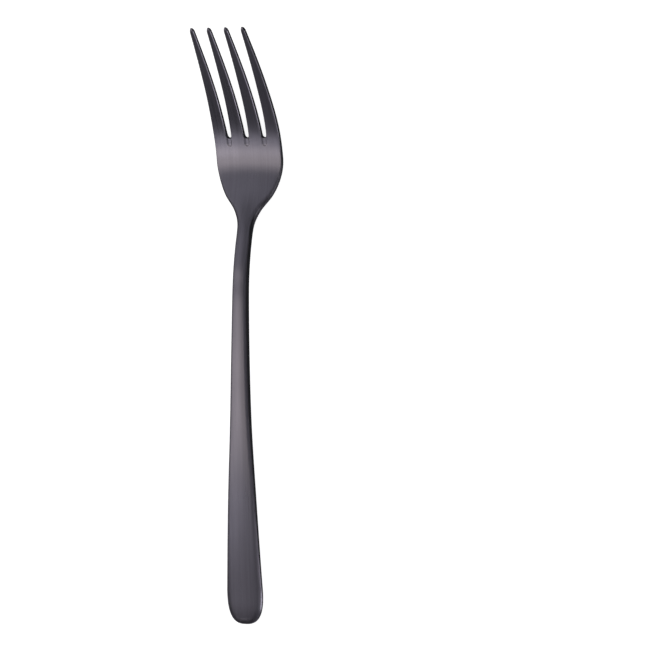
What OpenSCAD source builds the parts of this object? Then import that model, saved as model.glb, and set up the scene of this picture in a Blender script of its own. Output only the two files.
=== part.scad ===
// Dinner fork with four tines, lying face up on a table.
// X runs across the fork, Y from the end of the handle to the tips, Z up from the table.

/* [Whole fork] */
// Length from the end of the handle to the tips
fork_l = 210; // [180:1:235]
// Height of the tips above the table
tip_h = 25.7; // [20:0.1:30]
// Height of the arch under the handle
arch_h = 5.5; // [3:0.1:8]
// Radius that rounds the edges of the head and the tines
edge_r = 0.4; // [0.3:0.05:0.55]

/* [Handle] */
// Width of the handle beside its rounded end
handle_w = 14.2; // [10:0.1:17]
// Length of the rounded end
end_l = 11.5; // [7:0.5:15]
// Fullness of the rounded end, 2 being an ellipse
end_power = 2.7; // [2:0.1:3.5]
// Thickness of the handle at its end
end_t = 2.2; // [2:0.1:3]
// Radius that rounds the edges of the handle
handle_r = 0.9; // [0.6:0.05:0.95]
// Rise of the face of the handle and the neck from its edges to its middle
crown_h = 0.5; // [0.1:0.05:0.7]

/* [Neck] */
// Width of the neck where it is narrowest
neck_w = 5.5; // [4.2:0.1:7]
// Thickness of the neck where it is thickest
neck_t = 3.7; // [3.2:0.1:5]
// Radius that rounds the edges of the neck
neck_r = 1; // [0.8:0.1:1.5]

/* [Head] */
// Width of the head where it is widest
head_w = 26.4; // [23:0.1:29]
// Thickness of the head where it is widest
head_t = 1.8; // [1.5:0.1:2.6]

/* [Tines] */
// Length of the slots between the tines
slot_l = 37.6; // [30:0.2:44]
// Width of each tine beside the slot roots
root_w = 5.25; // [4:0.05:5.4]
// Width across the tips of all four tines
tip_span = 21.9; // [18:0.1:24]
// Width of each tine behind its rounded tip
tip_w = 1.5; // [1.2:0.05:2.2]
// Thickness of each tine behind its rounded tip
tip_t = 1.3; // [1.15:0.05:1.6]
// Length of the rounded tip of each tine
nose_l = 1.2; // [0.8:0.1:2]

/* [Scoops below the slots] */
// Length of the scoop that runs down the face from each slot root
scoop_l = 3; // [2:0.1:4]
// Width of the scoop
scoop_w = 1.6; // [1.2:0.1:1.8]
// Depth of the flat floor of the scoop
scoop_d = 0.1; // [0.05:0.01:0.15]
// Width of the sloping wall around that floor
slope_w = 0.33; // [0.2:0.01:0.4]

/* [Hidden] */
// Places along the fork, as shares of the sizes that they follow
wide_share = 0.2825;
low_share = 0.52;
neck_share = 1.372;
arch_share = 0.828;
thick_share = 0.909;
// Slot roots
root_y = fork_l - slot_l;
// Widest part of the head
wide_y = root_y - wide_share * head_w;
// Line where the head touches the table
low_y = root_y - low_share * head_w;
// Narrowest part of the neck
neck_y = root_y - neck_share * head_w;
// Crest of the arch
arch_y = arch_share * neck_y;
// Thickest part of the neck
thick_y = thick_share * neck_y;

// The handle narrows to the neck: shares of the way along, and of the width left over
taper_shares = [[0, 1], [0.27, 0.61], [0.47, 0.295], [0.69, 0.107]];
// The shoulders widen from the neck to the head in the same way
shoulder_shares = [[0, 0], [0.17, 0.018], [0.36, 0.215], [0.55, 0.623], [0.76, 0.888], [1, 1]];
// Belly of the outer sides, halfway along the slots
side_shares = [0.5, 0.61];
// Belly of each tine, halfway along the slots
tine_shares = [0.5, 0.575];
// How late the drop from the arch to the head comes
drop_power = 1.38;
// Length over which the head bends up into the tines
bend_share = 0.64;
bend_l = bend_share * (fork_l - low_y);

tine_count = 4;
slot_count = tine_count - 1;
middle_tine = slot_count / 2;
middle_slot = (slot_count - 1) / 2;
steel = [0.3, 0.3, 0.33];

// Fineness of the surfaces
arc_steps = 4;
face_steps = 6;
end_steps = 14;
handle_steps = 22;
neck_steps = 14;
head_steps = 24;
root_steps = 5;
tine_steps = 14;
nose_steps = 5;
end_first_share = 0.05;
nose_last_share = 0.98;
half_share = 0.49;
quarter_turn = 90;
slope_share = 0.0001;
slope_step = slope_share * fork_l;
least_share = 0.05;
least_r = least_share * edge_r;
scoop_end_steps = 7;
scoop_run_steps = 4;

// Smooth curve through points in rising order, with no overshoot
function run(p, i) = p[i + 1][0] - p[i][0];
function chord(p, i) = (p[i + 1][1] - p[i][1]) / run(p, i);
function mixed(p, i) =
    let (before = run(p, i - 1), after = run(p, i))
    (before * chord(p, i) + after * chord(p, i - 1)) / (before + after);
function steepest(p, i) = 3 * min(abs(chord(p, i - 1)), abs(chord(p, i)));
function tangent(p, i) =
    i == 0 ? chord(p, 0) :
    i == len(p) - 1 ? chord(p, i - 1) :
    chord(p, i - 1) * chord(p, i) <= 0 ? 0 :
    sign(mixed(p, i)) * min(abs(mixed(p, i)), steepest(p, i));
function span(p, x, i = 0) = i >= len(p) - 2 || x < p[i + 1][0] ? i : span(p, x, i + 1);
function curve(p, x) =
    let (i = span(p, x), h = run(p, i), u = (x - p[i][0]) / h)
    let (e = ease(u), rise = u * pow(1 - u, 2), fall = u * u * (u - 1))
    p[i][1] * (1 - e) + p[i + 1][1] * e + h * (rise * tangent(p, i) + fall * tangent(p, i + 1));
function ease(u) = u * u * (3 - 2 * u);

// Height of the back above the table: an arch, a drop to the head and a bend up to the tips
function bow(d) = sqrt(d * d + bend_l * bend_l) - bend_l;
function back_z(y) =
    y < arch_y ? arch_h * (1 - pow((arch_y - y) / (arch_y - handle_r), 2)) :
    y < low_y ? arch_h * (1 - ease(pow((y - arch_y) / (low_y - arch_y), drop_power))) :
    tip_h * bow(y - low_y) / bow(fork_l - low_y);

// Width across the fork, thickness, edge radius and crown at a place along it
taper = [for (s = taper_shares)
    [end_l + s[0] * (neck_y - end_l), neck_w + s[1] * (handle_w - neck_w)]];
shoulder = [for (s = shoulder_shares)
    [neck_y + s[0] * (wide_y - neck_y), neck_w + s[1] * (head_w - neck_w)]];
sides = [
    [root_y, head_w],
    [root_y + side_shares[0] * slot_l, tip_span + side_shares[1] * (head_w - tip_span)],
    [fork_l, tip_span]];
outline = concat(taper, shoulder, sides);
function across(y) = curve(outline, max(y, end_l));
depths = [[0, end_t], [thick_y, neck_t], [wide_y, head_t], [fork_l, tip_t]];
function depth(y) = curve(depths, y);
// Height and slope of the line midway between back and face
function mid_z(y) = back_z(y) + depth(y) / 2;
function lean(y) = atan2(mid_z(y + slope_step) - mid_z(y - slope_step), 2 * slope_step);
radii = [[0, handle_r], [thick_y, neck_r], [wide_y, edge_r], [fork_l, edge_r]];
function round_r(y) = curve(radii, y);
function crown(y) = crown_h * (1 - ease(min(1, max(0, (y - thick_y) / (low_y - thick_y)))));

// Width of one tine and the pitch from tine to tine
tine_widths = [
    [root_y, root_w],
    [root_y + tine_shares[0] * slot_l, tip_w + tine_shares[1] * (root_w - tip_w)],
    [fork_l, tip_w]];
function tine_w(y) = curve(tine_widths, y);
function pitch(y) = (across(y) - tine_w(y)) / slot_count;
function slot_half(y) = (pitch(y) - tine_w(y)) / 2;
root_r = slot_half(root_y);
// Share of the slot that is open at a place in its round root
function opened(y) = y > root_y + root_r ? 1 : sqrt(1 - pow(1 - (y - root_y) / root_r, 2));

// Section from left to right, with rounded corners and a face that may be crowned
function corner(x, v, r, a) = [x + r * cos(a), v + r * sin(a)];
function section(left, right, t, left_r, right_r) = concat(
    [for (i = [0:arc_steps]) corner(right - right_r, right_r, right_r, quarter_turn * (i / arc_steps - 1))],
    [for (i = [0:arc_steps]) corner(right - right_r, t - right_r, right_r, quarter_turn * i / arc_steps)],
    [for (i = [1:face_steps - 1]) [right - right_r - (right - left - right_r - left_r) * i / face_steps, t]],
    [for (i = [0:arc_steps]) corner(left + left_r, t - left_r, left_r, quarter_turn * (1 + i / arc_steps))],
    [for (i = [0:arc_steps]) corner(left + left_r, left_r, left_r, quarter_turn * (2 + i / arc_steps))]);
function crowned(p, half, t, rise) = [p[0], p[1] * (1 - rise / t * pow(p[0] / half, 2))];
// Section point set square to the middle line, t being the thickness of its section
function placed(y, p, t) =
    let (off = p[1] - t / 2, a = lean(y))
    [p[0], y - fork_l / 2 - off * sin(a), mid_z(y) + off * cos(a)];

// Rings of points around the handle, neck and head
function end_open(y) = y > end_l ? 1 : pow(1 - pow(1 - y / end_l, end_power), 1 / end_power);
function end_drop(y) = y > handle_r ? 0 : handle_r - sqrt(handle_r * handle_r - pow(handle_r - y, 2));
function body_ring(y) =
    let (half = across(y) * end_open(y) / 2, t = depth(y) - 2 * end_drop(y))
    let (r = min(round_r(y), half_share * t, 2 * half_share * half))
    [for (p = section(-half, half, t, r, r))
        placed(y, crowned(p, half, t, crown(y) * pow(end_open(y), 2)), t)];

// Rings of points around one tine
function nose_open(y) = y < fork_l - nose_l ? 1 : sqrt(1 - pow((y - fork_l + nose_l) / nose_l, 2));
function tine_ring(y, k) =
    let (mid = (k - middle_tine) * pitch(y), open = opened(y), nose = nose_open(y))
    let (inner = pitch(y) / 2 - slot_half(y) * open, outer = tine_w(y) / 2)
    let (left = mid - nose * (k == 0 ? outer : inner))
    let (right = mid + nose * (k == slot_count ? outer : inner))
    let (t = depth(y) * nose, r = min(edge_r * nose, half_share * t, half_share * nose * tine_w(y)))
    let (slot_r = max(least_r, r * open))
    [for (p = section(left, right, t, k == 0 ? r : slot_r, k == slot_count ? r : slot_r))
        placed(y, p, t)];

// Rings of points around the cutter of a scoop: a flat floor with a round end, and a sloping wall
scoop_r = scoop_w / 2;
scoop_y = root_y - scoop_l + scoop_r;
floor_r = scoop_r - slope_w;
top_r = scoop_r + slope_w;
function beyond(y) = max(0, scoop_y - y);
function half_at(y, r) = sqrt(max(least_r * least_r, r * r - pow(beyond(y), 2)));
function sunk(x, y) = scoop_d * min(1, (scoop_r - norm([x, beyond(y)])) / slope_w);
function scoop_ring(y) =
    let (floor_half = half_at(y, floor_r), top_half = half_at(y, top_r))
    [for (x = [-top_half, -floor_half, floor_half, top_half])
        placed(y, [x, depth(y) - sunk(x, y)], depth(y))];

// Places of the rings along the fork
function steps(a, b, n) = [for (i = [0:n]) a + (b - a) * i / n];
end_places = [for (s = steps(end_first_share, 1, end_steps)) end_l * s * s];
handle_places = steps(end_l, arch_y, handle_steps);
root_places = [for (a = steps(0, quarter_turn, root_steps)) root_y + root_r * (1 - cos(a))];
tine_places = steps(root_y + root_r, fork_l - nose_l, tine_steps);
nose_places = [for (s = steps(0, 1, nose_steps)) fork_l - nose_l + nose_l * nose_last_share * s * (2 - s)];
scoop_places = concat(
    steps(scoop_y - scoop_r - slope_w / 2, scoop_y, scoop_end_steps),
    rest(steps(scoop_y, root_y + root_r, scoop_run_steps)));
function rest(list) = [for (i = [1:len(list) - 1]) list[i]];

// Skin of triangles over a row of rings, closed by the first and last ring
module loft(rings) {
    n = len(rings[0]);
    last = (len(rings) - 1) * n;
    polyhedron(
        points = [for (r = rings) each r],
        faces = concat(
            [[for (j = [n - 1:-1:0]) j]],
            [for (i = [0:n:last - n], j = [0:n - 1]) [i + j, i + (j + 1) % n, i + n + (j + 1) % n]],
            [for (i = [0:n:last - n], j = [0:n - 1]) [i + j, i + n + (j + 1) % n, i + n + j]],
            [[for (j = [0:n - 1]) last + j]]),
        convexity = 6);
}

// Cutter for the scoop below one slot, which runs along the face into the slot root
module scoop(k) {
    translate([(k - middle_slot) * pitch(root_y), 0, 0])
        loft([for (y = scoop_places) scoop_ring(y)]);
}

module handle() {
    color(steel) loft([for (y = concat(end_places, rest(handle_places))) body_ring(y)]);
}

module neck() {
    color(steel) loft([for (y = steps(arch_y, neck_y, neck_steps)) body_ring(y)]);
}

module head() {
    color(steel) difference() {
        loft([for (y = steps(neck_y, root_y, head_steps)) body_ring(y)]);
        for (k = [0:slot_count - 1]) scoop(k);
    }
}

module tine(k) {
    difference() {
        loft([for (y = concat(root_places, rest(tine_places), rest(nose_places))) tine_ring(y, k)]);
        for (s = [max(0, k - 1):min(slot_count - 1, k)]) scoop(s);
    }
}

module tine_1() {
    color(steel) tine(0);
}

module tine_2() {
    color(steel) tine(1);
}

module tine_3() {
    color(steel) tine(2);
}

module tine_4() {
    color(steel) tine(3);
}

handle();
neck();
head();
tine_1();
tine_2();
tine_3();
tine_4();
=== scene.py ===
"""Looks of the dinner fork: a fine skin in place of each CAD node, its dark steel, the studio and the camera.

The fork is drawn flat first, as an outline with a thickness and rolled edges, and then bent along its side
profile. Lengths are in millimetres until the meshes are made. Places along the fork run from the end of the
handle to the tips.
"""

import math

import bpy
import numpy as np
from mathutils import Matrix, Vector


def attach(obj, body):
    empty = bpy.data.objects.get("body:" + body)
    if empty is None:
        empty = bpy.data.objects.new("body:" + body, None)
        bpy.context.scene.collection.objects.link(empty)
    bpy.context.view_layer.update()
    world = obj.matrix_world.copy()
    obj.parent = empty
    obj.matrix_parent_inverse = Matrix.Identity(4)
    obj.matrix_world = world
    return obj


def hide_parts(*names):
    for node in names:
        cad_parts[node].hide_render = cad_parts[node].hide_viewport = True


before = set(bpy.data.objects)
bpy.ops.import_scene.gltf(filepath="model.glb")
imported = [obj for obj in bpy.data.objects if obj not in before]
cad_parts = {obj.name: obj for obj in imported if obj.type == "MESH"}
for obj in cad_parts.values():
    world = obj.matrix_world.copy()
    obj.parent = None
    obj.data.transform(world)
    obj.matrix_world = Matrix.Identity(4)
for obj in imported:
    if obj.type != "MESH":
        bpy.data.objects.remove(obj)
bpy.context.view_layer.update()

MM = 0.001
QUARTER = math.pi / 2

# Sizes that the CAD model has too
FORK_L = 210.0
TIP_H = 25.7
ARCH_H = 5.5
EDGE_R = 0.4
HANDLE_W = 14.2
END_L = 11.5
END_POWER = 2.7
END_T = 2.2
HANDLE_R = 0.9
CROWN_H = 0.5
NECK_W = 5.5
NECK_T = 3.7
NECK_R = 1.0
HEAD_W = 26.4
HEAD_T = 1.8
SLOT_L = 37.6
ROOT_W = 5.25
TIP_SPAN = 21.9
TIP_W = 1.5
TIP_T = 1.3
NOSE_L = 1.2
SCOOP_L = 3.0
TINES = 4
SLOTS = TINES - 1

# Sizes of the scoops at the slot roots, a little wider and deeper than in the CAD model
SCOOP_W = 2.0
SCOOP_D = 0.15
SLOPE_W = 0.5
SCOOP_R = SCOOP_W / 2

# How far the rounded ends close up, and the most of the thickness that one rolled edge takes
END_REACH = 0.999
NOSE_REACH = 1.02
LEAST_NOSE = 0.2
ROLL_SHARE = 0.49

# Places along the fork, from shares of the width of the head, of the way to the neck and of the bent part
WIDE_SHARE = 0.2825
LOW_SHARE = 0.52
NECK_SHARE = 1.372
ARCH_SHARE = 0.828
THICK_SHARE = 0.909
BEND_SHARE = 0.64
DROP_POWER = 1.38
ROOT_Y = FORK_L - SLOT_L
WIDE_Y = ROOT_Y - WIDE_SHARE * HEAD_W
LOW_Y = ROOT_Y - LOW_SHARE * HEAD_W
NECK_Y = ROOT_Y - NECK_SHARE * HEAD_W
ARCH_Y = ARCH_SHARE * NECK_Y
THICK_Y = THICK_SHARE * NECK_Y
NOSE_Y = FORK_L - NOSE_L
BEND_L = BEND_SHARE * (FORK_L - LOW_Y)
SCOOP_Y = ROOT_Y - SCOOP_L + SCOOP_R

# Outline: shares of the way between two places, with shares of the change of width there
HANDLE_SHARES = [(0, 1), (0.27, 0.61), (0.47, 0.295), (0.69, 0.107)]
SHOULDER_SHARES = [(0, 0), (0.17, 0.018), (0.36, 0.215), (0.55, 0.623), (0.76, 0.888), (1, 1)]
TINES_SHARES = [(0, 1), (0.5, 0.61), (1, 0)]
TINE_SHARES = [(0, 1), (0.5, 0.575), (1, 0)]

# Places where the crown, the roll of the face edge or the painted shade on the rolled edges and walls changes
GRIP_Y = END_L + 30
CROWN_KEPT_Y = 70
CROWN_NECK_Y = NECK_Y + 8
CROWN_OUT_Y = ROOT_Y + 13
ROLL_FROM_Y = NECK_Y - 2
ROLL_FULL_Y = NECK_Y + 9
ROLL_KEPT_Y = LOW_Y - 2
PAINTED_SHADE_NECK_Y = NECK_Y - 4
PAINTED_SHADE_EARLY_Y = NECK_Y + 6
PAINTED_SHADE_FULL_Y = NECK_Y + 8
PAINTED_SHADE_ROOT_Y = ROOT_Y + 2
PAINTED_SHADE_TINE_Y = ROOT_Y + 18
PALE_FROM_Y = NECK_Y + 3
PALE_FULL_Y = NECK_Y + 9
PALE_KEPT_Y = WIDE_Y - 6

# The fall of the face from its middle to its edges, as shares of the full crown
CROWN_SHARES = [
    (0, 1.0), (CROWN_KEPT_Y, 1.0), (ARCH_Y, 0.88), (CROWN_NECK_Y, 0.78), (LOW_Y, 0.6), (WIDE_Y, 0.4),
    (ROOT_Y, 0.2), (CROWN_OUT_Y, 0.0), (FORK_L, 0.0),
]


def ease(u):
    return u * u * (3 - 2 * u)


class Curve:
    """Smooth curve through points in rising order, with no overshoot."""

    def __init__(self, points):
        self.x, self.y = np.array(points, float).T
        run = np.diff(self.x)
        chords = np.diff(self.y) / run
        mixed = (run[:-1] * chords[1:] + run[1:] * chords[:-1]) / (run[:-1] + run[1:])
        steepest = 3 * np.minimum(abs(chords[1:]), abs(chords[:-1]))
        limited = np.sign(mixed) * np.minimum(abs(mixed), steepest)
        inner = np.where(chords[1:] * chords[:-1] > 0, limited, 0)
        self.slope = np.concatenate([chords[:1], inner, chords[-1:]])

    def __call__(self, x):
        i = np.clip(np.searchsorted(self.x, x, side="right") - 1, 0, len(self.x) - 2)
        h = self.x[i + 1] - self.x[i]
        u = (x - self.x[i]) / h
        e = ease(u)
        bend = u * (1 - u) ** 2 * self.slope[i] + u * u * (u - 1) * self.slope[i + 1]
        return self.y[i] * (1 - e) + self.y[i + 1] * e + h * bend


def share_points(shares, y0, y1, w0, w1):
    return [(y0 + a * (y1 - y0), w0 + b * (w1 - w0)) for a, b in shares]


across = Curve(
    share_points(HANDLE_SHARES, END_L, NECK_Y, NECK_W, HANDLE_W)
    + share_points(SHOULDER_SHARES, NECK_Y, WIDE_Y, NECK_W, HEAD_W)
    + share_points(TINES_SHARES, ROOT_Y, FORK_L, TIP_SPAN, HEAD_W)
)
tine_w = Curve(share_points(TINE_SHARES, ROOT_Y, FORK_L, TIP_W, ROOT_W))
depth = Curve([(0, END_T), (THICK_Y, NECK_T), (WIDE_Y, HEAD_T), (FORK_L, TIP_T)])
edge_r = Curve([(0, HANDLE_R), (THICK_Y, NECK_R), (WIDE_Y, EDGE_R), (FORK_L, EDGE_R)])
crown = Curve([(y, share * CROWN_H) for y, share in CROWN_SHARES])
# How many times wider than deep the roll of the face edge is
roll_stretch = Curve([
    (0, 2.4), (END_L, 1.9), (ARCH_Y, 1.0), (ROLL_FROM_Y, 1.0), (ROLL_FULL_Y, 2.2), (ROLL_KEPT_Y, 2.0),
    (WIDE_Y, 1.0), (FORK_L, 1.0),
])
# The painted shade on the rolled edges and walls, a near-black colour in place of their dark reflections: how
# far over the rolled edge it starts and is full, and its share where it is full
painted_shade_from = Curve([
    (0, 0.78), (END_L, 0.76), (GRIP_Y, 0.6), (ARCH_Y, 0.4), (PAINTED_SHADE_NECK_Y, 0.4), (PAINTED_SHADE_EARLY_Y, 0.26),
    (PAINTED_SHADE_ROOT_Y, 0.28), (PAINTED_SHADE_TINE_Y, 0.58), (FORK_L, 0.58),
])
painted_shade_full = Curve([
    (0, 0.97), (END_L, 0.97), (GRIP_Y, 0.9), (ARCH_Y, 0.8), (PAINTED_SHADE_NECK_Y, 0.8), (PAINTED_SHADE_FULL_Y, 0.72),
    (PAINTED_SHADE_ROOT_Y, 0.7), (PAINTED_SHADE_TINE_Y, 0.88), (FORK_L, 0.88),
])
painted_shade_most = Curve([
    (0, 1.0), (PALE_FROM_Y, 1.0), (PALE_FULL_Y, 0.82), (PALE_KEPT_Y, 0.84), (WIDE_Y, 0.95), (FORK_L, 1.0),
])


def pitch(y):
    return (across(y) - tine_w(y)) / SLOTS


def slot_half(y):
    return (pitch(y) - tine_w(y)) / 2


def half_width(y):
    return across(max(y, END_L)) / 2


PITCH = pitch(ROOT_Y)
ROOT_R = slot_half(ROOT_Y)


def bow(d):
    return np.sqrt(d * d + BEND_L * BEND_L) - BEND_L


def back_z(y):
    """Height of the back over the table: an arch, a drop to the head and a bend up to the tips."""
    y = np.asarray(y, float)
    arch = ARCH_H * (1 - ((ARCH_Y - y) / (ARCH_Y - HANDLE_R)) ** 2)
    u = np.clip((y - ARCH_Y) / (LOW_Y - ARCH_Y), 0, 1)
    drop = ARCH_H * (1 - ease(u ** DROP_POWER))
    rise = TIP_H * bow(np.maximum(y - LOW_Y, 0)) / bow(FORK_L - LOW_Y)
    return np.where(y < ARCH_Y, arch, np.where(y < LOW_Y, drop, rise))


def mid_z(y):
    return back_z(y) + depth(y) / 2


def thickness(y):
    """Thickness of the metal, which falls away towards the rounded tips."""
    reach = NOSE_REACH * max(0.0, y - NOSE_Y) / NOSE_L
    return depth(y) * math.sqrt(max(LEAST_NOSE ** 2, 1 - reach ** 2))


def scoop(x, y):
    """Depth of the flat scoop with a round end that runs down the face from the nearest slot root."""
    if y > ROOT_Y + ROOT_R:
        return 0.0
    side = x - PITCH * min(1, max(-1, round(x / PITCH)))
    inside = SCOOP_R - math.hypot(side, max(0.0, SCOOP_Y - y))
    return SCOOP_D * min(1.0, max(0.0, inside / SLOPE_W))


def lift(x, y, v):
    """Offset from the middle surface of a point v above the back. The crown lowers the face at its sides."""
    t = thickness(y)
    return v * (1 - crown(y) / t * (x / half_width(y)) ** 2) - t / 2


def face_off(x, y):
    return lift(x, y, thickness(y)) - scoop(x, y)


def back_off(y):
    return -thickness(y) / 2


# The skin: points in the flat plan with an offset from the middle surface, and faces between rows of points.
# The fourth value of a point says how far over the rolled edge it lies, from 0 on the face to 1 on the wall.
ROLL_STEPS = 8
WALL_STEPS = 2
points = []
faces = []


def add(x, y, off, edge):
    points.append((x, y, off, edge))
    return len(points) - 1


def edge_column(x, y, out, r, stretch=1.0):
    """Points from the face over a rolled edge and down the wall to the back. out points outwards in plan."""
    roll = [QUARTER * i / ROLL_STEPS for i in range(ROLL_STEPS + 1)]
    column = []
    for a in roll:
        e = r * stretch * (1 - math.sin(a))
        px, py = x - e * out[0], y - e * out[1]
        t = thickness(py)
        off = lift(px, py, t - min(r, ROLL_SHARE * t) * (1 - math.cos(a))) - scoop(px, py)
        column.append(add(px, py, off, a / QUARTER))
    t = thickness(y)
    top = t - min(r, ROLL_SHARE * t)
    for i in range(1, WALL_STEPS):
        column.append(add(x, y, lift(x, y, top - (2 * top - t) * i / WALL_STEPS), 1.0))
    for a in reversed(roll):
        e = r * (1 - math.sin(a))
        px, py = x - e * out[0], y - e * out[1]
        rise = min(r, ROLL_SHARE * thickness(py)) * (1 - math.cos(a))
        column.append(add(px, py, lift(px, py, rise), a / QUARTER))
    return column


def strip_between(left, right, shares):
    """One strip of a row: its two edge columns and the points between them on the face and on the back."""
    a, b = points[left[0]], points[right[0]]
    face, back = [left[0]], [left[-1]]
    for s in shares:
        x, y = a[0] + (b[0] - a[0]) * s, a[1] + (b[1] - a[1]) * s
        face.append(add(x, y, face_off(x, y), 0.0))
        back.append(add(x, y, back_off(y), 0.0))
    return {"left": left, "right": right, "face": face + [right[0]], "back": back + [right[-1]]}


def pointed_strip(column, count):
    """A strip that has shrunk to one column, at a rounded end."""
    face, back = [column[0]] * (count + 2), [column[-1]] * (count + 2)
    return {"left": column, "right": column, "face": face, "back": back}


def facet(ring, zone, kind):
    """One face without repeated points. A ring that has closed up gives none."""
    kept = [p for i, p in enumerate(ring) if p != ring[i - 1]]
    if len(set(kept)) == len(kept) and len(kept) > 2:
        faces.append((kept, zone, kind))


def bridge(a, b, zone):
    """Faces between a strip and the next one towards the tips."""
    for i in range(len(a["face"]) - 1):
        facet([a["face"][i], a["face"][i + 1], b["face"][i + 1], b["face"][i]], zone, "face")
        facet([a["back"][i + 1], a["back"][i], b["back"][i], b["back"][i + 1]], zone, "back")
    for i in range(len(a["left"]) - 1):
        facet([a["right"][i], a["right"][i + 1], b["right"][i + 1], b["right"][i]], zone, "wall")
        facet([a["left"][i + 1], a["left"][i], b["left"][i], b["left"][i + 1]], zone, "wall")


def outline(strip):
    """Points around a strip, seen from the tips."""
    return strip["face"] + strip["right"][1:] + strip["back"][-2::-1] + strip["left"][-2:0:-1]


# Columns across the fork crowd together beside the slots. Shares run across each strip between two slots.
NEAR = [0.2, 0.4, 0.6, 0.8, 1.0, 1.3, 1.8, 2.6]
FAR = [3.6, 4.7]
MIDDLE = 0.5
INNER = [d / PITCH for d in NEAR] + [MIDDLE] + [1 - d / PITCH for d in reversed(NEAR)]
OUTER_W = HEAD_W / 2 - PITCH
OUTER = [1 - d / OUTER_W for d in reversed(NEAR + FAR)]
STRIP_SHARES = [OUTER, INNER, INNER, [1 - s for s in reversed(OUTER)]]

APEX_Y = ROOT_Y - EDGE_R
apex_half = half_width(APEX_Y) - EDGE_R
marks = [-apex_half] + [(k - 1) * PITCH for k in range(SLOTS)] + [apex_half]
body_columns = []
for k in range(TINES):
    body_columns += [marks[k] + s * (marks[k + 1] - marks[k]) for s in STRIP_SHARES[k]]
    if k < SLOTS:
        body_columns.append(marks[k + 1])
BODY_SHARES = [(x + apex_half) / (2 * apex_half) for x in body_columns]


def body_strip(x, y, out):
    r, stretch = edge_r(y), roll_stretch(y)
    left = edge_column(-x, y, (-out[0], out[1]), r, stretch)
    right = edge_column(x, y, out, r, stretch)
    return strip_between(left, right, BODY_SHARES)


SLOPE_STEP = 0.01


def slope_of(place, y):
    return (place(y + SLOPE_STEP) - place(y - SLOPE_STEP)) / (2 * SLOPE_STEP)


def side_out(y):
    """Outward direction in plan of the right-hand side of the fork."""
    slope = slope_of(half_width, y)
    n = math.hypot(1, slope)
    return 1 / n, -slope / n


# Rows of the handle's rounded end, then of the rest of the handle, the neck and the head up to the slots
END_STEPS = 30
HANDLE_STEP = 1.2
NECK_STEP = 0.8
HEAD_STEP = 0.55
SCOOP_STEP = 0.2
FINE_L = 4.2
FINE_Y = ROOT_Y - FINE_L
rows = []
for i in range(END_STEPS + 1):
    a = QUARTER * i / END_STEPS
    s, c = math.sin(a) ** (2 / END_POWER), math.cos(a) ** (2 / END_POWER)
    x, y = HANDLE_W / 2 * s, END_L * (1 - END_REACH * c)
    out = Vector((END_L * s ** (END_POWER - 1), -HANDLE_W / 2 * c ** (END_POWER - 1))).normalized()
    if i == 0:
        end_column = edge_column(0.0, y, (0.0, -1.0), edge_r(y), roll_stretch(y))
        rows.append(pointed_strip(end_column, len(BODY_SHARES)))
    else:
        rows.append(body_strip(x, y, out))
for start, stop, step in (
    (END_L, ARCH_Y, HANDLE_STEP),
    (ARCH_Y, NECK_Y, NECK_STEP),
    (NECK_Y, FINE_Y, HEAD_STEP),
    (FINE_Y, APEX_Y, SCOOP_STEP),
):
    count = math.ceil((stop - start) / step)
    for i in range(count):
        y = start + (stop - start) * (i + 1) / count
        rows.append(body_strip(half_width(y), y, side_out(y)))

# Each zone but the handle starts at a cut, where its neighbour ends
TINE_NAMES = [f"tine_{k + 1}" for k in range(TINES)]
ZONES = ["handle", "neck", "head"] + TINE_NAMES
NEXT = {"handle": ["neck"], "neck": ["head"], "head": TINE_NAMES}
TINY = 1e-6
cuts = {}
last_zone = "handle"
for i in range(len(rows) - 1):
    y = points[rows[i]["right"][ROLL_STEPS]][1]
    zone = "handle" if y < ARCH_Y - TINY else "neck" if y < NECK_Y - TINY else "head"
    if zone != last_zone:
        cuts[zone] = rows[i]
    last_zone = zone
    bridge(rows[i], rows[i + 1], zone)

# The last row of the head splits into four strips at the roots of the slots
last = rows[-1]
bounds_at = [0]
for k in range(TINES):
    bounds_at.append(bounds_at[-1] + len(STRIP_SHARES[k]) + 1)
apex_columns = []
for k in range(SLOTS):
    j = bounds_at[k + 1]
    column = edge_column((k - 1) * PITCH, ROOT_Y, (0.0, 1.0), EDGE_R)
    column[0], column[-1] = last["face"][j], last["back"][j]
    apex_columns.append(column)
strips = []
for k in range(TINES):
    i, j = bounds_at[k], bounds_at[k + 1]
    strips.append({
        "left": last["left"] if k == 0 else apex_columns[k - 1],
        "right": last["right"] if k == SLOTS else apex_columns[k],
        "face": last["face"][i:j + 1],
        "back": last["back"][i:j + 1],
    })


def root_column(k, side, a):
    """Edge column on the round root of slot k, at angle a.

    side is -1 for the tine on the left of the slot and 1 for the tine on its right.
    """
    x = (k - 1) * PITCH + side * ROOT_R * math.sin(a)
    y = ROOT_Y + ROOT_R * (1 - math.cos(a))
    return edge_column(x, y, (-side * math.sin(a), math.cos(a)), EDGE_R)


def slot_column(k, side, y):
    """Edge column on a long side of slot k, with side as for its root."""
    def place(v):
        return (k - 1) * pitch(v) + side * slot_half(v)
    slope = slope_of(place, y)
    n = math.hypot(1, slope)
    return edge_column(place(y), y, (-side / n, side * slope / n), EDGE_R)


def tine_row(y, column, at):
    """Four strips with the outer sides at y. Their slot sides come from column, at an angle or a place."""
    out = side_out(y)
    row = []
    for k in range(TINES):
        if k == 0:
            left = edge_column(-half_width(y), y, (-out[0], out[1]), EDGE_R)
        else:
            left = column(k - 1, 1, at)
        if k == SLOTS:
            right = edge_column(half_width(y), y, out, EDGE_R)
        else:
            right = column(k, -1, at)
        row.append(strip_between(left, right, STRIP_SHARES[k]))
    return row


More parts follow.
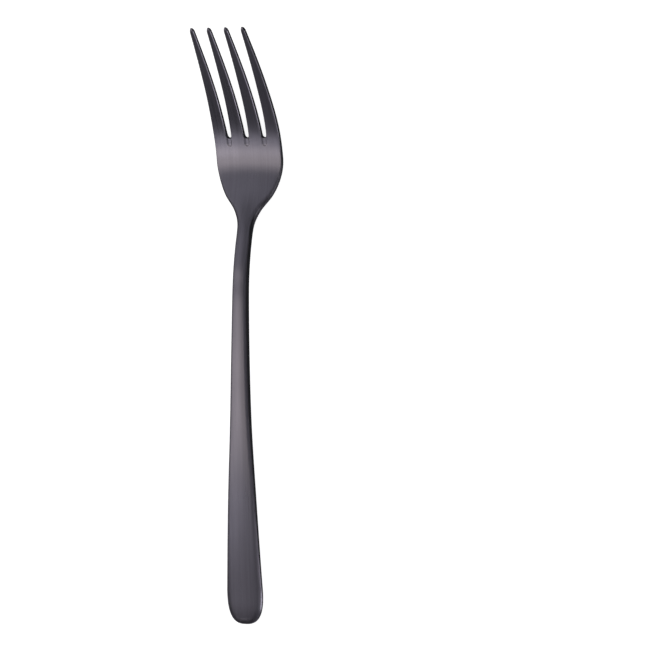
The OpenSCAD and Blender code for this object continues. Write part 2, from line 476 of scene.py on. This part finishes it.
# Rows round the slot roots and a little above them belong to the head, and the rest to the tines
ROUND_STEPS = 10
HEAD_ROWS = 4
TINE_ROWS = 45
SPLIT_SHARE = 2.6
SPLIT_Y = ROOT_Y + SPLIT_SHARE * ROOT_R
row_places = []
for i in range(ROUND_STEPS):
    a = QUARTER * (i + 1) / ROUND_STEPS
    row_places.append((ROOT_Y + ROOT_R - (ROOT_R + EDGE_R) * math.cos(a), root_column, a, False))
for y in np.linspace(ROOT_Y + ROOT_R, SPLIT_Y, HEAD_ROWS + 1)[1:]:
    row_places.append((y, slot_column, y, False))
for y in np.linspace(SPLIT_Y, NOSE_Y, TINE_ROWS + 1)[1:]:
    row_places.append((y, slot_column, y, True))
for y, column, at, in_tines in row_places:
    row = tine_row(y, column, at)
    for k, name in enumerate(TINE_NAMES):
        if in_tines and name not in cuts:
            cuts[name] = strips[k]
        bridge(strips[k], row[k], name if in_tines else "head")
    strips = row

# Rounded tips
NOSE_STEPS = 8
for i in range(1, NOSE_STEPS + 1):
    a = QUARTER * i / NOSE_STEPS
    y = NOSE_Y + NOSE_L * math.sin(a)
    half = TIP_W / 2 * math.cos(a)
    out = Vector((NOSE_L * math.cos(a), TIP_W / 2 * math.sin(a))).normalized()
    for k, name in enumerate(TINE_NAMES):
        mid = (k - SLOTS / 2) * pitch(FORK_L)
        if i == NOSE_STEPS:
            nose = pointed_strip(edge_column(mid, FORK_L, (0.0, 1.0), EDGE_R), len(STRIP_SHARES[k]))
        else:
            left = edge_column(mid - half, y, (-out[0], out[1]), EDGE_R)
            right = edge_column(mid + half, y, out, EDGE_R)
            nose = strip_between(left, right, STRIP_SHARES[k])
        bridge(strips[k], nose, name)
        strips[k] = nose


# Bending the flat skin along the side profile
LEAN_PARTS = 10000
LEAN_STEP = FORK_L / LEAN_PARTS
flat = np.array(points)
xs, ys, offs, edges = flat.T
lean = np.arctan2(mid_z(ys + LEAN_STEP) - mid_z(ys - LEAN_STEP), 2 * LEAN_STEP)
solid = np.stack([
    xs,
    ys - FORK_L / 2 - offs * np.sin(lean),
    mid_z(ys) + offs * np.cos(lean),
], 1) * MM

# Length along the bent middle line, for the brushing
GRID_OVER = 2
GRID_POINTS = 2200
grid = np.linspace(-GRID_OVER, FORK_L + GRID_OVER, GRID_POINTS)
run = np.concatenate([[0], np.cumsum(np.hypot(np.diff(grid), np.diff(mid_z(grid))))])
along = np.interp(ys, grid, run)

# Share of the painted shade on the rolled edges and walls. On the outer sides of the tines it stays as it is
# at the slot roots.
OUTER_ROLLS = 1.1
outer_side = np.abs(xs) > across(np.clip(ys, END_L, FORK_L)) / 2 - OUTER_ROLLS * EDGE_R
painted_shade_y = np.clip(np.where(outer_side, np.minimum(ys, ROOT_Y), ys), 0, FORK_L)
first, full = painted_shade_from(painted_shade_y), painted_shade_full(painted_shade_y)
painted_shade_share = painted_shade_most(np.clip(ys, 0, FORK_L)) * ease(np.clip((edges - first) / (full - first), 0, 1))

# Normals of the skin in one piece
whole = bpy.data.meshes.new("whole_skin")
whole.from_pydata(solid.tolist(), [], [ring for ring, _, _ in faces])
whole.update()
normals = np.zeros(len(whole.vertices) * 3, np.float32)
whole.vertex_normals.foreach_get("vector", normals)
normals = normals.reshape(-1, 3)
bpy.data.meshes.remove(whole)

UV_SCALE = 0.01


def make_piece(zone, name):
    """A closed mesh of one zone, with the smooth normals of the whole skin so that no seam shows."""
    own = [(ring, kind) for ring, z, kind in faces if z == zone]
    if zone in cuts:
        own.append((outline(cuts[zone])[::-1], "cap"))
    own += [(outline(cuts[z]), "cap") for z in NEXT.get(zone, [])]
    used = sorted({p for ring, _ in own for p in ring})
    place = {p: i for i, p in enumerate(used)}
    mesh = bpy.data.meshes.new(name)
    mesh.from_pydata(solid[used].tolist(), [], [[place[p] for p in ring] for ring, _ in own])
    mesh.update()
    layer = mesh.uv_layers.new(name="along")
    split = np.zeros((len(mesh.loops), 3), np.float32)
    for poly, (ring, kind) in zip(mesh.polygons, own):
        poly.use_smooth = kind != "cap"
        for corner, p in zip(poly.loop_indices, ring):
            v = offs[p] if kind in ("wall", "cap") else xs[p]
            layer.data[corner].uv = (along[p] * UV_SCALE, v * UV_SCALE)
            split[corner] = poly.normal if kind == "cap" else normals[p]
    # The wall attribute carries painted shade: the share of near-black colour on the rolled edges and walls,
    # in place of their dark reflections
    wall = mesh.attributes.new("wall", "FLOAT", "POINT")
    wall.data.foreach_set("value", painted_shade_share[used].astype(np.float32))
    brush = mesh.attributes.new("brush", "FLOAT_VECTOR", "POINT")
    brushing = np.stack([xs[used], along[used], offs[used]], 1)
    brush.data.foreach_set("vector", brushing.astype(np.float32).ravel())
    mesh.normals_split_custom_set(split.tolist())
    piece = bpy.data.objects.new(name, mesh)
    bpy.context.scene.collection.objects.link(piece)
    return piece


# Materials
def node(tree, kind, **values):
    n = tree.nodes.new(kind)
    for key, value in values.items():
        setattr(n, key, value)
    return n


def math_node(tree, operation, a, b):
    n = node(tree, "ShaderNodeMath", operation=operation)
    for socket, value in zip(n.inputs, (a, b)):
        if isinstance(value, (int, float)):
            socket.default_value = value
        else:
            tree.links.new(value, socket)
    return n.outputs[0]


def noise(tree, vector, scale, detail, rough=0.5):
    """Noise stretched by scale, in cycles per millimetre across, along and through the metal."""
    mapping = node(tree, "ShaderNodeMapping", vector_type="POINT")
    mapping.inputs["Scale"].default_value = scale
    tree.links.new(vector, mapping.inputs["Vector"])
    n = node(tree, "ShaderNodeTexNoise", noise_dimensions="3D")
    n.inputs["Scale"].default_value = 1.0
    n.inputs["Detail"].default_value = detail
    n.inputs["Roughness"].default_value = rough
    tree.links.new(mapping.outputs[0], n.inputs["Vector"])
    return n.outputs[0]


def span(tree, value, low, high, to_low, to_high, smooth=False):
    """The value, mapped from low and high to two other values and held beyond them."""
    n = node(tree, "ShaderNodeMapRange", interpolation_type="SMOOTHSTEP" if smooth else "LINEAR")
    for key, v in zip(("From Min", "From Max", "To Min", "To Max"), (low, high, to_low, to_high)):
        n.inputs[key].default_value = v
    tree.links.new(value, n.inputs["Value"])
    return n.outputs[0]


STEEL = (0.137, 0.127, 0.155)
# Near-black painted shade on the rolled edges and walls
PAINTED_WALL_SHADE = (0.012, 0.012, 0.014, 1.0)
SPECULAR_TINT = (0.5, 0.5, 0.5, 1.0)
# Scale and detail of the brushing, of broader streaks and of cloudy patches, and the roughness of the first
FINE = ((5.5, 0.035, 5.5), 3.0, 0.6)
BROAD = ((0.9, 0.02, 0.9), 2.0)
CLOUD = ((0.06, 0.045, 0.06), 2.0)
NOISE_SPAN = (0.3, 0.7)
FINE_TONE = 0.07
BROAD_TONE = 0.06
# Painted shade at the very end of the handle, which darkens the steel there in place of the shading of its
# rounded end
END_PAINTED_SHADE_SPAN = (2.0, 11.0)
END_PAINTED_SHADE = 0.58
ROUGH_SPAN = (0.275, 0.333)
CLOUD_ROUGH = 0.02
BUMP_STRENGTH = 0.25
BUMP_DISTANCE = 0.00001
ANISOTROPIC = 0.86
ANISOTROPIC_TURN = 0.25
# Sockets of a mix node for colours
MIX_FACTOR, MIX_A, MIX_B, MIX_RESULT = 0, 6, 7, 2


def steel_material():
    """Dark satin steel, brushed along the fork, with painted shade on its rolled edges and walls and at the
    end of the handle.
    """
    material = bpy.data.materials.new("dark_brushed_steel")
    material.use_nodes = True
    tree = material.node_tree
    shader = tree.nodes["Principled BSDF"]
    brush = node(tree, "ShaderNodeAttribute", attribute_name="brush").outputs["Vector"]
    wall = node(tree, "ShaderNodeAttribute", attribute_name="wall").outputs["Fac"]
    fine = noise(tree, brush, *FINE)
    broad = noise(tree, brush, *BROAD)
    cloud = noise(tree, brush, *CLOUD)

    fine_streak = span(tree, fine, *NOISE_SPAN, -FINE_TONE, FINE_TONE)
    broad_streak = span(tree, broad, *NOISE_SPAN, -BROAD_TONE, BROAD_TONE)
    streak = math_node(tree, "ADD", fine_streak, broad_streak)
    # Painted shade towards the end of the handle, by the length along the fork
    place = node(tree, "ShaderNodeSeparateXYZ")
    tree.links.new(brush, place.inputs[0])
    end_painted_shade = span(tree, place.outputs["Y"], *END_PAINTED_SHADE_SPAN, END_PAINTED_SHADE, 1.0, smooth=True)
    value = math_node(tree, "MULTIPLY", math_node(tree, "ADD", streak, 1.0), end_painted_shade)
    tone = node(tree, "ShaderNodeVectorMath", operation="SCALE")
    tone.inputs[0].default_value = STEEL
    tree.links.new(value, tone.inputs["Scale"])
    # Painted shade: the colour goes to near black on the rolled edges and walls by the wall attribute
    colour = node(tree, "ShaderNodeMix", data_type="RGBA")
    colour.inputs[MIX_B].default_value = PAINTED_WALL_SHADE
    tree.links.new(wall, colour.inputs[MIX_FACTOR])
    tree.links.new(tone.outputs[0], colour.inputs[MIX_A])
    tree.links.new(colour.outputs[MIX_RESULT], shader.inputs["Base Color"])

    fine_rough = span(tree, fine, *NOISE_SPAN, *ROUGH_SPAN)
    cloud_rough = span(tree, cloud, *NOISE_SPAN, -CLOUD_ROUGH, CLOUD_ROUGH)
    tree.links.new(math_node(tree, "ADD", fine_rough, cloud_rough), shader.inputs["Roughness"])

    bump = node(tree, "ShaderNodeBump")
    bump.inputs["Strength"].default_value = BUMP_STRENGTH
    bump.inputs["Distance"].default_value = BUMP_DISTANCE
    tree.links.new(fine, bump.inputs["Height"])
    tree.links.new(bump.outputs[0], shader.inputs["Normal"])

    tangent = node(tree, "ShaderNodeTangent", direction_type="UV_MAP", uv_map="along")
    tree.links.new(tangent.outputs[0], shader.inputs["Tangent"])
    shader.inputs["Metallic"].default_value = 1.0
    shader.inputs["Anisotropic"].default_value = ANISOTROPIC
    shader.inputs["Specular Tint"].default_value = SPECULAR_TINT
    shader.inputs["Anisotropic Rotation"].default_value = ANISOTROPIC_TURN
    return material


FLOOR_SIZE = 24.0
FLOOR_GREY = (0.55, 0.55, 0.55, 1.0)
FLOOR_GLOW = 0.86


def floor_material():
    """White floor that keeps the soft shadow of the fork."""
    material = bpy.data.materials.new("white_floor")
    material.use_nodes = True
    tree = material.node_tree
    tree.nodes.remove(tree.nodes["Principled BSDF"])
    diffuse = node(tree, "ShaderNodeBsdfDiffuse")
    diffuse.inputs["Color"].default_value = FLOOR_GREY
    glow = node(tree, "ShaderNodeEmission")
    path = node(tree, "ShaderNodeLightPath")
    seen = math_node(tree, "MAXIMUM", path.outputs["Is Camera Ray"], path.outputs["Is Glossy Ray"])
    seen = math_node(tree, "MAXIMUM", seen, path.outputs["Is Transmission Ray"])
    tree.links.new(math_node(tree, "MULTIPLY", seen, FLOOR_GLOW), glow.inputs["Strength"])
    both = node(tree, "ShaderNodeAddShader")
    tree.links.new(diffuse.outputs[0], both.inputs[0])
    tree.links.new(glow.outputs[0], both.inputs[1])
    tree.links.new(both.outputs[0], tree.nodes["Material Output"].inputs["Surface"])
    return material


steel = steel_material()
for zone in ZONES:
    piece = make_piece(zone, f"fork_{zone}")
    piece.data.materials.append(steel)
    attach(piece, "root")
    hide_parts(zone)

# Floor
bpy.ops.mesh.primitive_plane_add(size=FLOOR_SIZE, location=(0, 0, 0))
floor = bpy.context.object
floor.name = "floor"
floor.data.materials.append(floor_material())


# Studio light
WARM = (1.0, 0.945, 0.81)
COOL = (0.98, 1.0, 1.02)
WHITE = (1.0, 1.0, 1.0)


def softbox(name, place, target, size, strength, colour):
    """Rectangular lamp at place, facing target. Its power is strength times pi times its area."""
    lamp = bpy.data.lights.new(name, "AREA")
    lamp.shape = "RECTANGLE"
    lamp.size, lamp.size_y = size[0] * MM, size[1] * MM
    lamp.energy = strength * math.pi * lamp.size * lamp.size_y
    lamp.color = colour
    holder = bpy.data.objects.new(name, lamp)
    bpy.context.scene.collection.objects.link(holder)
    holder.location = Vector(place) * MM
    aim = (Vector(target) - Vector(place)).normalized()
    right = Vector((0, 1, 0)).cross(aim).normalized()
    up = right.cross(aim)
    holder.rotation_euler = Matrix((right, up, -aim)).transposed().to_euler()
    holder.visible_camera = False


# The strip makes the bright band on the head and the sheen of the handle
softbox("box_strip", (-179, -44, 343), (29, -18, 19), (307, 116), 1.58, WARM)
softbox("box_near_head", (-94, 43, 177), (0, 57, 1.5), (180, 24), 0.72, WARM)
softbox("box_wide", (-223, 41, 267), (0, 66, 0), (280, 368), 0.875, COOL)
softbox("box_behind", (-584, -387, 874), (-2, 7, 3), (300, 316), 1.36, WHITE)
softbox("box_low_right", (697, -342, 240), (0, 0, 10), (500, 300), 5.5, WHITE)

# A dim sky, a little lighter behind the handle, beyond the tips and in a band on the right
SKY = (0.965, 1.0, 1.02, 1.0)
SKY_BEHIND = (-0.9, 0.0, 0.17, 0.0)
SKY_AHEAD = (0.0, 0.9, 0.0, 0.25)
SKY_BAND_ON = (-0.1, 0.4, 0.04, 0.45)
SKY_BAND_OFF = (0.45, 0.95, 0.45, 0.05)
world = bpy.data.worlds.new("studio")
bpy.context.scene.world = world
world.use_nodes = True
tree = world.node_tree
ground = tree.nodes["Background"]
coord = node(tree, "ShaderNodeTexCoord")
towards = node(tree, "ShaderNodeSeparateXYZ")
tree.links.new(coord.outputs["Generated"], towards.inputs[0])
behind = span(tree, towards.outputs["Y"], *SKY_BEHIND)
ahead = span(tree, towards.outputs["Y"], *SKY_AHEAD)
band_on = span(tree, towards.outputs["X"], *SKY_BAND_ON)
band_off = span(tree, towards.outputs["X"], *SKY_BAND_OFF)
band = math_node(tree, "MINIMUM", band_on, band_off)
level = math_node(tree, "ADD", band, math_node(tree, "ADD", behind, ahead))
tree.links.new(level, ground.inputs["Strength"])
ground.inputs["Color"].default_value = SKY

# Camera: over the right-hand side of the fork, leaning from straight down, with the tips upwards
LEAN = math.radians(28.0)
ROLL = math.radians(0.5365)
AIM_ACROSS = 26.555
AIM_UP = 1.285
DISTANCE = 1600.0
MM_PER_PIXEL = 0.3548
PIXELS = 650
SENSOR_W = 36.0
CLIP_M = (0.05, 60.0)
across_view = Vector((math.cos(LEAN), 0, -math.sin(LEAN)))
up_view = Vector((0, 1, 0))
back_view = Vector((math.sin(LEAN), 0, math.cos(LEAN)))
aim = AIM_ACROSS * across_view + AIM_UP * up_view
right = across_view * math.cos(ROLL) + up_view * math.sin(ROLL)
up = up_view * math.cos(ROLL) - across_view * math.sin(ROLL)
lens = bpy.data.cameras.new("camera")
lens.sensor_width = SENSOR_W
lens.lens = SENSOR_W * DISTANCE / (PIXELS * MM_PER_PIXEL)
lens.clip_start, lens.clip_end = CLIP_M
camera = bpy.data.objects.new("camera", lens)
bpy.context.scene.collection.objects.link(camera)
turn = Matrix((right, up, back_view)).transposed().to_4x4()
camera.matrix_world = Matrix.Translation((aim + back_view * DISTANCE) * MM) @ turn
bpy.context.scene.camera = camera

bpy.context.scene.view_settings.view_transform = "Standard"
